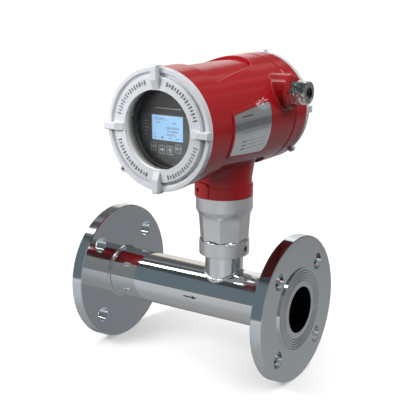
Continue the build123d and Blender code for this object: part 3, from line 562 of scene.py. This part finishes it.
# Text, right edge, foot and height of each number, in millimetres
DISPLAY_NUMBERS = [
    ("100", 10.5, 4.4, 2.0), ("25.4", -9.0, 4.7, 1.7), ("1286.403500", 14.5, -0.9, 2.1),
    ("34.752040", 13.0, -4.5, 2.1), ("78.20413", 10.5, -7.9, 2.1),
]
figures = []
for text, right, base, height in DISPLAY_NUMBERS:
    figures += number(text, right, base, height)
title_lines = [(-15.5, 9.2, -4.5, 9.7), (-15.5, 8.0, 0.5, 8.3)]
foot_marks = [(-7.6, -11.0, -5.4, -9.0)] + [(u, -10.6, u + 3.4, -10.0) for u in (1.5, 10.5)]
side_marks = [(-16.0, v, -15.0, v + 1.4) for v in (-7.6, -10.8)]
figures += [lcd_bar(*corners) for corners in title_lines + foot_marks + side_marks]
piece("lcd_figures", *gathered(figures), "display_ink", "head", "black_plastic")


# Marks on the keys: generic words and arrows inside a thin frame
def frame_lines(place, half_u, half_v, thick):
    """Four strips round a rectangle."""
    strips = [(-half_u, half_v - thick, half_u, half_v), (-half_u, -half_v, half_u, -half_v + thick),
              (-half_u, -half_v, -half_u + thick, half_v), (half_u - thick, -half_v, half_u, half_v)]
    return [slab(bar(*strip), place, INK) for strip in strips]


def arrow_outline(length, half, head, stem):
    """Arrow along +u, centred on its own middle."""
    start, neck, end = -length / 2, length / 2 - head, length / 2
    lower = [(start, -stem), (neck, -stem), (neck, -half)]
    return lower + [(end, 0)] + [(u, -v) for u, v in reversed(lower)]


def word_sheet(text, place, size):
    """Word in the plain built-in face, as one flat sheet centred on a key."""
    curve = bpy.data.curves.new("word", "FONT")
    curve.body = text
    curve.size = size
    curve.align_x = "CENTER"
    curve.align_y = "CENTER"
    curve.resolution_u = 3
    thing = bpy.data.objects.new("word", curve)
    bpy.context.scene.collection.objects.link(thing)
    bpy.context.view_layer.update()
    mesh = bpy.data.meshes.new_from_object(thing.evaluated_get(bpy.context.evaluated_depsgraph_get()))
    verts = [place(v.co.x, v.co.y, THICK_INK) for v in mesh.vertices]
    faces = [list(p.vertices) for p in mesh.polygons]
    bpy.data.objects.remove(thing)
    bpy.data.curves.remove(curve)
    bpy.data.meshes.remove(mesh)
    return verts, faces


# Keys: the centre in millimetres from the head's centre line, and a word or the angle of an arrow
KEY_FRAME = (3.9, 4.25, 0.28)
KEY_ARROW = (5.0, 2.1, 2.4, 0.45)
WORD_SIZE = 3.6
key_signs = {
    "key_escape": (-20.7, -21.6, "ESC"),
    "key_next": (-10.4, -24.0, 0),
    "key_up": (-0.1, -24.0, 90),
    "key_enter": (10.2, -21.6, "ENT"),
}
for key, (x, z, sign) in key_signs.items():
    place = on_key(x, z)
    marks = frame_lines(place, *KEY_FRAME)
    if isinstance(sign, str):
        marks.append(word_sheet(sign, place, WORD_SIZE))
    else:
        turn = radians(sign)
        outline = [(u * cos(turn) - v * sin(turn), u * sin(turn) + v * cos(turn))
                   for u, v in arrow_outline(*KEY_ARROW)]
        marks.append(slab(outline, place, INK))
    piece(key + "_mark", *gathered(marks), "pale_print", key, "key_plastic")

# Short legend lines on the faceplate left of the display, one above it, and the display's dark frame
LEGEND_LEFT, LEGEND_THICK = -32.5, 0.45
legend_lines = [(LEGEND_LEFT, v, LEGEND_LEFT + length, v + LEGEND_THICK)
                for v, length in ((4.0, 5.0), (0.6, 4.0), (-2.8, 5.5), (-6.2, 4.5), (-9.6, 3.5))]
legend_lines.append((-18.0, 18.2, 14.0, 18.7))
legend = [slab(bar(*corners), on_faceplate, INK) for corners in legend_lines]
piece("faceplate_legend", *gathered(legend), "pale_print", "head", "dark_faceplate")
LCD_FRAME = (20.3, 13.8, 1.0)
border = frame_lines(round_lcd, *LCD_FRAME)
piece("lcd_frame", *gathered(border), "black_plastic", "head", "dark_faceplate")

# Flow arrow on the tube, a little downstream of its middle and below its front line
ARROW_X, ARROW_DROP = 0.1352, 0.0018
FLOW_ARROW = (19.0, 2.2, 7.0, 0.8)
arrow = [(ARROW_X + u * MM, ARROW_DROP + v * MM) for u, v in arrow_outline(*FLOW_ARROW)]
piece("flow_arrow", *slab(arrow, on_tube, THICK_INK), "dark_print", "spool", "black_plastic")

# Nameplate: a heading bar, two rules and the blank fields of a form
FIELD_LINES = (-0.0165, -0.0205, -0.0245)
plate_lines = [(-0.064, -0.044, 0.0095, 0.0012), (-0.062, -0.016, 0.0035, 0.0003),
               (-0.062, -0.010, -0.0065, 0.0004)]
plate_lines += [(-0.062, -0.053, v, 0.0009) for v in FIELD_LINES]
plate_lines += [(-0.050, -0.014, v, 0.00025) for v in FIELD_LINES]
rules = [slab(bar(u0, v, u1, v + thick, 2), on_plate, THICK_INK) for u0, u1, v, thick in plate_lines]
piece("plate_rules", *gathered(rules), "dark_print", "head", "plate_steel")


# Geometry Nodes trees: copies round the Y axis, and screw threads
def new_tree(name, inputs):
    tree = bpy.data.node_groups.new(name, "GeometryNodeTree")
    tree.interface.new_socket("Geometry", in_out="INPUT", socket_type="NodeSocketGeometry")
    for label, kind, value in inputs:
        socket = tree.interface.new_socket(label, in_out="INPUT", socket_type="NodeSocket" + kind)
        socket.default_value = value
    tree.interface.new_socket("Finish", in_out="INPUT", socket_type="NodeSocketMaterial")
    tree.interface.new_socket("Geometry", in_out="OUTPUT", socket_type="NodeSocketGeometry")
    return tree, tree.nodes.new("NodeGroupInput").outputs, tree.nodes.new("NodeGroupOutput")


def joined(tree, kind, **links):
    """Adds a node, wires or sets its inputs by name and gives its first output."""
    node = tree.nodes.new(kind)
    for name, value in links.items():
        socket = node.inputs[name.replace("_", " ")]
        if hasattr(value, "node"):
            tree.links.new(value, socket)
        else:
            socket.default_value = value
    return node.outputs[0]


def end_tree(tree, source, given, out):
    real = joined(tree, "GeometryNodeRealizeInstances", Geometry=source)
    coated = joined(tree, "GeometryNodeSetMaterial", Geometry=real, Material=given["Finish"])
    tree.links.new(coated, out.inputs[0])
    return tree


def ring_tree():
    """Copies of a mesh round the Y axis: count, radius, first angle and step are inputs."""
    tree, given, out = new_tree("round_y", [("Count", "Int", 8), ("Radius", "Float", 0.05),
                                            ("First", "Float", 0.0), ("Step", "Float", 0.1)])
    row = joined(tree, "GeometryNodeMeshLine", Count=given["Count"])
    index = joined(tree, "GeometryNodeInputIndex")
    angle = maths(tree, "ADD", maths(tree, "MULTIPLY", index, given["Step"]), given["First"])
    across = maths(tree, "MULTIPLY", maths(tree, "COSINE", angle), given["Radius"])
    upward = maths(tree, "MULTIPLY", maths(tree, "SINE", angle), given["Radius"])
    spot = joined(tree, "ShaderNodeCombineXYZ", X=across, Z=upward)
    placed = joined(tree, "GeometryNodeSetPosition", Geometry=row, Position=spot)
    facing = joined(tree, "ShaderNodeCombineXYZ", Y=maths(tree, "MULTIPLY", angle, -1.0))
    copies = joined(tree, "GeometryNodeInstanceOnPoints", Points=placed, Instance=given["Geometry"],
                    Rotation=facing)
    return end_tree(tree, copies, given, out)


def thread_tree():
    """Screw thread along Z: turns, radius, length, ridge size and steps in a turn are inputs."""
    tree, given, out = new_tree("screw_thread", [("Turns", "Float", 6.0), ("Radius", "Float", 0.05),
                                                 ("Length", "Float", 0.01), ("Ridge", "Float", 0.0004),
                                                 ("Steps", "Int", 96)])
    spiral = joined(tree, "GeometryNodeCurveSpiral", Resolution=given["Steps"], Rotations=given["Turns"],
                    Height=given["Length"], Start_Radius=given["Radius"], End_Radius=given["Radius"])
    ridge = joined(tree, "GeometryNodeCurvePrimitiveCircle", Resolution=4, Radius=given["Ridge"])
    sweep = joined(tree, "GeometryNodeCurveToMesh", Curve=spiral, Profile_Curve=ridge, Fill_Caps=True)
    return end_tree(tree, sweep, given, out)


def grown(thing, tree, finish, values):
    """Runs a tree on an object, keeps the result as plain mesh and takes the modifier off again."""
    modifier = thing.modifiers.new("grow", "NODES")
    modifier.node_group = tree
    for item in tree.interface.items_tree:
        if item.item_type == "SOCKET" and item.in_out == "INPUT":
            if item.name == "Finish":
                modifier[item.identifier] = finishes[finish]
            elif item.name in values:
                modifier[item.identifier] = values[item.name]
    bpy.context.view_layer.update()
    mesh = bpy.data.meshes.new_from_object(thing.evaluated_get(bpy.context.evaluated_depsgraph_get()))
    thing.modifiers.remove(modifier)
    seed_mesh = thing.data
    thing.data = mesh
    bpy.data.meshes.remove(seed_mesh)
    faced_outward(mesh)
    return thing


def moved(thing, shift, turn=(0, 0, 0)):
    """Turns and shifts the mesh itself, so that the object stays at the origin."""
    thing.data.transform(Euler(turn).to_matrix().to_4x4())
    for vertex in thing.data.vertices:
        vertex.co += Vector(shift)
    return thing


def merged(name, things):
    """One object made of several that share a finish."""
    base = things[0]
    work = bmesh.new()
    for thing in things:
        work.from_mesh(thing.data)
    work.to_mesh(base.data)
    work.free()
    for thing in things[1:]:
        bpy.data.objects.remove(thing)
    base.name = name
    return base


ring = ring_tree()
thread = thread_tree()

# Raised ticks on the front cover, their grey darkened as painted shade: in each quarter eight long ones with
# seven short ones between them
TICK_RADIUS, TICK_WIDTH, TICK_HEIGHT = 0.0482, 1.5 * MM, 0.8 * MM
TICK_STEP = radians(4.1)
TICK_SINK, TOP_LENGTH, TOP_WIDTH = 0.0001, 0.9, 0.62
LONG_TICKS = (8, 4.6 * MM, -7)
SHORT_TICKS = (7, 3.0 * MM, -6)


def tick(length):
    """One tick with sloping sides, lying along X, its foot a little below zero."""
    half_u, half_v = length / 2, TICK_WIDTH / 2
    foot = [(-half_u, -half_v), (half_u, -half_v), (half_u, half_v), (-half_u, half_v)]
    verts = [Vector((u, TICK_SINK, v)) for u, v in foot]
    verts += [Vector((u * TOP_LENGTH, -TICK_HEIGHT, v * TOP_WIDTH)) for u, v in foot]
    return raw_piece("tick", verts, block_faces(), "tick_painted_shade")


ticks = []
for quarter in range(4):
    middle = radians(45 + 90 * quarter)
    for count, length, first in (LONG_TICKS, SHORT_TICKS):
        start = middle + first * TICK_STEP
        arc = grown(tick(length), ring, "tick_painted_shade", {
            "Count": count, "Radius": TICK_RADIUS, "First": start, "Step": 2 * TICK_STEP})
        ticks.append(moved(arc, (HEAD_X, COVER_FACE_Y, HEAD_Z)))
settled(merged("cover_ticks", ticks), "front_cover", "grey_paint")


# Pale sleeve over the window's bore: painted light, paler than the cover's grey so that the bore wall looks
# lit
def bore_painted_light_sleeve():
    steps = 128
    profile = [(0.04114, -0.1150), (0.04010, -0.1258), (0.04004, -0.1258), (0.04108, -0.1150)]
    turns = [2 * pi * k / steps for k in range(steps)]
    verts = [Vector((HEAD_X + r * cos(turn), y, HEAD_Z + r * sin(turn)))
             for turn in turns for r, y in profile]
    faces = sleeve_faces(len(profile), steps, steps)
    lining = piece("bore_painted_light_sleeve", verts, faces, "bore_painted_light", "front_cover", "grey_paint")
    for polygon in lining.data.polygons:
        polygon.use_smooth = True


# Serrated lip of the gasket at the back of the window's bore
def gasket_serration():
    teeth, lip_radius = 160, 0.041
    foot_half, top_half = 0.00042, 0.00026
    lip = [(0.04152, -0.1105, foot_half), (0.04120, -0.1148, foot_half), (0.04060, -0.1140, top_half),
           (0.04080, -0.1105, top_half)]
    verts = [Vector((r - lip_radius, y, side * half)) for side in (-1, 1) for r, y, half in lip]
    tooth = raw_piece("gasket_serration", verts, block_faces(), "black_rubber")
    serration = grown(tooth, ring, "black_rubber", {
        "Count": teeth, "Radius": lip_radius, "First": 0.0, "Step": 2 * pi / teeth})
    settled(moved(serration, (HEAD_X, 0, HEAD_Z)), "front_cover", "black_rubber")


# Bright cut at the foot of each flat on the adaptor, where the cutter ran out into the ring
def adaptor_cuts():
    ring_radius, flat_foot, flat_lean, flat_half = 0.0287, 0.0256, 0.0627, 0.0104
    cut_rise, least_rise = 0.0032, 0.00004
    ring_inset, buried, foot = 0.00012, 0.0002, -0.0001
    spans, arc_steps, flats = 28, 10, 8
    back = flat_foot - buried
    verts = []
    for k in range(spans + 1):
        share = 2 * k / spans - 1
        side = share * flat_half
        rise = max(cut_rise * (1 - share * share) ** 0.8, least_rise)
        outer = sqrt(ring_radius ** 2 - side ** 2) - ring_inset
        inner = flat_foot + flat_lean * rise
        for step in range(arc_steps + 1):
            turn = pi / 2 * step / arc_steps
            verts.append(Vector((outer - (outer - inner) * sin(turn), rise - rise * cos(turn), side)))
        verts += [Vector((back, rise, side)), Vector((back, foot, side)), Vector((outer, foot, side))]
    loop = arc_steps + 4
    faces = sleeve_faces(loop, spans, spans + 1)
    faces += [list(range(loop))[::-1], list(range(loop * spans, loop * (spans + 1)))]
    cut = raw_piece("adaptor_cuts", verts, faces, "bright_cut")
    cuts = grown(cut, ring, "bright_cut", {
        "Count": flats, "Radius": 0.0, "First": 0.0, "Step": 2 * pi / flats})
    settled(moved(cuts, (HEAD_X, 0, LEDGE_Z), (radians(90), 0, 0)), "spool", "satin_aluminium")


bore_painted_light_sleeve()
gasket_serration()
adaptor_cuts()

# Threads on the cover skirts and the gland
COVER_THREAD = {"Radius": 0.05362, "Ridge": 0.0003}
COVER_PITCH = 0.002
GLAND_THREAD = {"Radius": 0.0096, "Ridge": 0.00022}
GLAND_PITCH = 0.0015
FRONT_REACH, REAR_REACH, GLAND_REACH = (0.0995, 0.1150), (0.0610, 0.0710), (0.0778, 0.0845)


def screw_thread(name, sizes, pitch, along, finish, place, turn):
    """Thread between two heights of its axis, which the turn lays along the screw."""
    start, end = along
    length = end - start
    base = raw_piece(name, [(0, 0, 0)], [], finish)
    grown(base, thread, finish, {"Turns": length / pitch, "Length": length, **sizes})
    moved(base, (0, 0, start))
    return moved(base, place, turn)


HEAD_AXIS = (HEAD_X, 0, HEAD_Z)
settled(screw_thread("front_cover_thread", COVER_THREAD, COVER_PITCH, FRONT_REACH, "satin_aluminium",
                     HEAD_AXIS, (radians(90), 0, 0)), "front_cover", "grey_paint")
settled(screw_thread("rear_cover_thread", COVER_THREAD, COVER_PITCH, REAR_REACH, "satin_aluminium",
                     HEAD_AXIS, (radians(-90), 0, 0)), "rear_cover", "grey_paint")
settled(screw_thread("gland_thread", GLAND_THREAD, GLAND_PITCH, GLAND_REACH, "bright_nickel",
                     ENTRY, (0, radians(90), 0)), "head", "bright_nickel")


# Floor: pale paper that takes shadows and isn't mirrored in the steel
def floor_sheet():
    half, height = 40, -0.0825
    mesh = bpy.data.meshes.new("floor")
    corners = [(-half, -half, height), (half, -half, height), (half, half, height), (-half, half, height)]
    mesh.from_pydata(corners, [], [(0, 1, 2, 3)])
    floor = bpy.data.objects.new("floor", mesh)
    bpy.context.scene.collection.objects.link(floor)
    paper, tree, shader, coords = new_material("floor_paper")
    toned(tree, shader, coords, (0.74, 0.74, 0.74), 0.004, 3.0)
    shader.inputs["Roughness"].default_value = 1.0
    shader.inputs["Specular IOR Level"].default_value = 0.0
    shader.inputs["Emission Color"].default_value = (1, 1, 1, 1)
    shader.inputs["Emission Strength"].default_value = 0.225
    mesh.materials.append(paper)
    floor.visible_glossy = False
    floor.visible_diffuse = False
    floor.visible_shadow = False


floor_sheet()

# Room round the meter, mirrored in its polished parts: its tones run from 0 to 255 and its angles are degrees
# Many of these tones, and the tints and factors that go with them, are readings of the photo's pixels by the
# direction mirrored there, later rounded
STEEL_SHINE = 0.88
PLAIN = (1, 1, 1)
BLUE = (0.80, 1.03, 1.17)
LOW_TINT, HIGH_TINT, PLATE_TINT = (0.965, 1.0, 1.045), (0.95, 1.0, 1.03), (0.97, 1.0, 1.02)
UNDERSIDE, UNDERSIDE_SHARE = 146, 0.85

# Tones below the horizon, above it and overhead, by the angle from the front (-Y) towards +X
LOW_ROOM = [
    (-180, 140), (-160, 165), (-135, 80), (-105, 120), (-75, 165), (-45, 180), (-15, 175), (20, 190),
    (50, 160), (80, 125), (110, 115), (140, 120), (160, 145), (180, 140),
]
MIDDLE_ROOM = [
    (-180, 70, PLAIN), (-176, 145, PLAIN), (-171, 140, PLAIN), (-167, 55, PLAIN), (-158, 85, PLAIN),
    (-154, 205, PLAIN), (-149, 240, PLAIN), (-147, 210, (1.05, 1, 0.90)), (-141, 215, (1.08, 1, 0.88)),
    (-137, 100, PLAIN), (-110, 90, (0.95, 1, 1.02)), (-70, 100, BLUE), (-30, 105, BLUE),
    (10, 110, (0.9, 1, 1.08)), (60, 130, PLAIN), (110, 105, PLAIN), (145, 90, PLAIN), (155, 70, PLAIN),
    (158, 125, PLAIN), (161, 70, PLAIN), (166, 60, PLAIN), (170, 125, PLAIN), (174, 60, PLAIN),
    (180, 70, PLAIN),
]
HIGH_ROOM = [
    (-180, 255), (-165, 250), (-155, 150), (-128, 80), (-118, 90), (-110, 125), (-105, 125), (-98, 65),
    (-60, 60), (-20, 60), (60, 85), (130, 70), (160, 90), (170, 250), (180, 255),
]

# Tones by height in the sector that the nameplate mirrors
PLATE_ROOM = [
    (-32, 140), (-22, 140), (-17, 130), (-14, 115), (-12, 85), (-6, 85), (-3, 115), (4, 120), (12, 100),
    (20, 95), (41, 90),
]

# Factors by height on the tones below the horizon
LOW_FADE = [(-90, (0.85, 0.85, 0.85)), (-35, (0.93, 0.93, 0.93)), (-18, (1.0, 1.0, 1.0))]
HORIZON_GLOW = [(-14, (1.0, 1.0, 1.0)), (-9.5, (1.22, 1.11, 1.05))]

# Where one stretch of the room gives way to the next: heights, and the two sides of the nameplate's sector
UNDERSIDE_EDGE, HORIZON_EDGE, CEILING_EDGE = (-50, -30), (-7.6, -6.2), (41, 45)
PLATE_START, PLATE_END = (143, 146), (154.5, 158)


def grey(tone, tint=PLAIN):
    """Linear light for a tone of 0 to 255 seen in polished steel."""
    value = tone / 255
    linear = value / 12.92 if value <= 0.04045 else ((value + 0.055) / 1.055) ** 2.4
    return tuple(linear / STEEL_SHINE * t for t in tint)


def way_round(angle):
    """Place on a ramp round the room, 0 to 1, for an angle in degrees."""
    return angle / 360 + 0.5


def way_up(angle):
    """Place on a ramp from straight down to straight up, 0 to 1, for a height in degrees."""
    return 0.5 + angle / 180


def studio_room():
    world = bpy.data.worlds.new("studio")
    bpy.context.scene.world = world
    world.use_nodes = True
    tree = world.node_tree
    tree.nodes.clear()
    out = tree.nodes.new("ShaderNodeOutputWorld")
    backdrop = tree.nodes.new("ShaderNodeBackground")
    tree.links.new(backdrop.outputs[0], out.inputs[0])
    direction = tree.nodes.new("ShaderNodeTexCoord").outputs["Generated"]
    x, y, z = axis_parts(tree, direction)
    heading = maths(tree, "ARCTAN2", x, maths(tree, "MULTIPLY", y, -1.0))
    turn = maths(tree, "ADD", maths(tree, "DIVIDE", heading, 2 * pi), 0.5)
    rise = maths(tree, "ADD", maths(tree, "DIVIDE", maths(tree, "ARCSINE", z), pi), 0.5)

    low = ramp(tree, turn, [(way_round(a), grey(t, LOW_TINT)) for a, t in LOW_ROOM], "EASE")
    for factors in (LOW_FADE, HORIZON_GLOW):
        low = mixed(tree, 1.0, low, ramp(tree, rise, [(way_up(a), f) for a, f in factors]), "MULTIPLY")
    below = spread(tree, rise, *map(way_up, UNDERSIDE_EDGE), UNDERSIDE_SHARE, 0.0)
    low = mixed(tree, below, low, grey(UNDERSIDE))
    middle = ramp(tree, turn, [(way_round(a), grey(t, tint)) for a, t, tint in MIDDLE_ROOM], "EASE")
    high = ramp(tree, turn, [(way_round(a), grey(t, HIGH_TINT)) for a, t in HIGH_ROOM], "EASE")
    beside = ramp(tree, rise, [(way_up(a), grey(t, PLATE_TINT)) for a, t in PLATE_ROOM])

    horizon = spread(tree, rise, *map(way_up, HORIZON_EDGE), 0.0, 1.0)
    room = mixed(tree, horizon, low, middle)
    sector = maths(tree, "MULTIPLY", spread(tree, turn, *map(way_round, PLATE_START), 0.0, 1.0),
                   spread(tree, turn, *map(way_round, PLATE_END), 1.0, 0.0))
    room = mixed(tree, sector, room, beside)
    ceiling = spread(tree, rise, *map(way_up, CEILING_EDGE), 0.0, 1.0)
    room = mixed(tree, ceiling, room, high)
    seen = tree.nodes.new("ShaderNodeLightPath").outputs["Is Camera Ray"]
    tree.links.new(mixed(tree, seen, room, (1.0, 1.0, 1.0)), backdrop.inputs["Color"])
    backdrop.inputs["Strength"].default_value = 1.0
    world.cycles_visibility.diffuse = False


studio_room()


# Lights
def sun(name, toward, strength, angle):
    """Soft light from a direction that lights surfaces but isn't mirrored in them."""
    data = bpy.data.lights.new(name, "SUN")
    data.energy = strength
    data.angle = radians(angle)
    lamp = bpy.data.objects.new(name, data)
    lamp.rotation_euler = Vector(toward).to_track_quat("Z", "Y").to_euler()
    lamp.visible_glossy = False
    bpy.context.scene.collection.objects.link(lamp)


def panel(name, centre, toward, distance, size, energy):
    """Soft rectangular panel at a distance from a point, turned to face it, itself out of sight."""
    data = bpy.data.lights.new(name, "AREA")
    data.shape = "RECTANGLE"
    data.size, data.size_y = size
    data.energy = energy
    lamp = bpy.data.objects.new(name, data)
    toward = Vector(toward).normalized()
    lamp.location = Vector(centre) + toward * distance
    lamp.rotation_euler = toward.to_track_quat("Z", "Y").to_euler()
    lamp.visible_camera = False
    bpy.context.scene.collection.objects.link(lamp)
    return lamp


sun("top_light", (0.25, 0.10, 0.96), 2.2, 90)
sun("back_light", (-0.25, 0.95, 0.2), 2.2, 60)
sun("front_light", (0.70, -0.32, 0.64), 1.3, 60)
sun("low_side_light", (0.8, -0.3, -0.5), 0.14, 80)

KEY_AIM, KEY_SIDE = (HEAD_X, 0, 0.05), (-0.53, -0.13, 0.84)
key_panel = panel("key_panel", KEY_AIM, KEY_SIDE, 3.0, (0.30, 2.4), 6.0)
key_core = panel("key_core", KEY_AIM, KEY_SIDE, 3.0, (0.08, 2.4), 16.0)
left_panel = panel("left_panel", (HEAD_X, -0.126, HEAD_Z), (-0.68, -0.66, 0.32), 0.5, (0.22, 0.22), 3.2)
edge_strip = panel("edge_strip", (HEAD_X, 0, 0.1), (0, -0.24, 0.97), 1.5, (2.6, 0.16), 8.0)
left_panel.visible_glossy = False
for only_mirrored in (key_panel, key_core, edge_strip):
    only_mirrored.visible_diffuse = False

# Camera at the photograph's angle: how far it looks down and how far it is turned, in degrees
CAMERA_DIP, CAMERA_TURN = 14.942, 33.239
camera_data = bpy.data.cameras.new("camera")
camera_data.sensor_width = 36.0
camera_data.lens = 77.337
camera_data.clip_end = 200.0
camera = bpy.data.objects.new("camera", camera_data)
camera.location = (0.69085, -0.83581, 0.36314)
camera.rotation_euler = (radians(90 - CAMERA_DIP), 0.0, radians(CAMERA_TURN))
bpy.context.scene.collection.objects.link(camera)
bpy.context.scene.camera = camera
bpy.context.scene.view_settings.view_transform = "Standard"
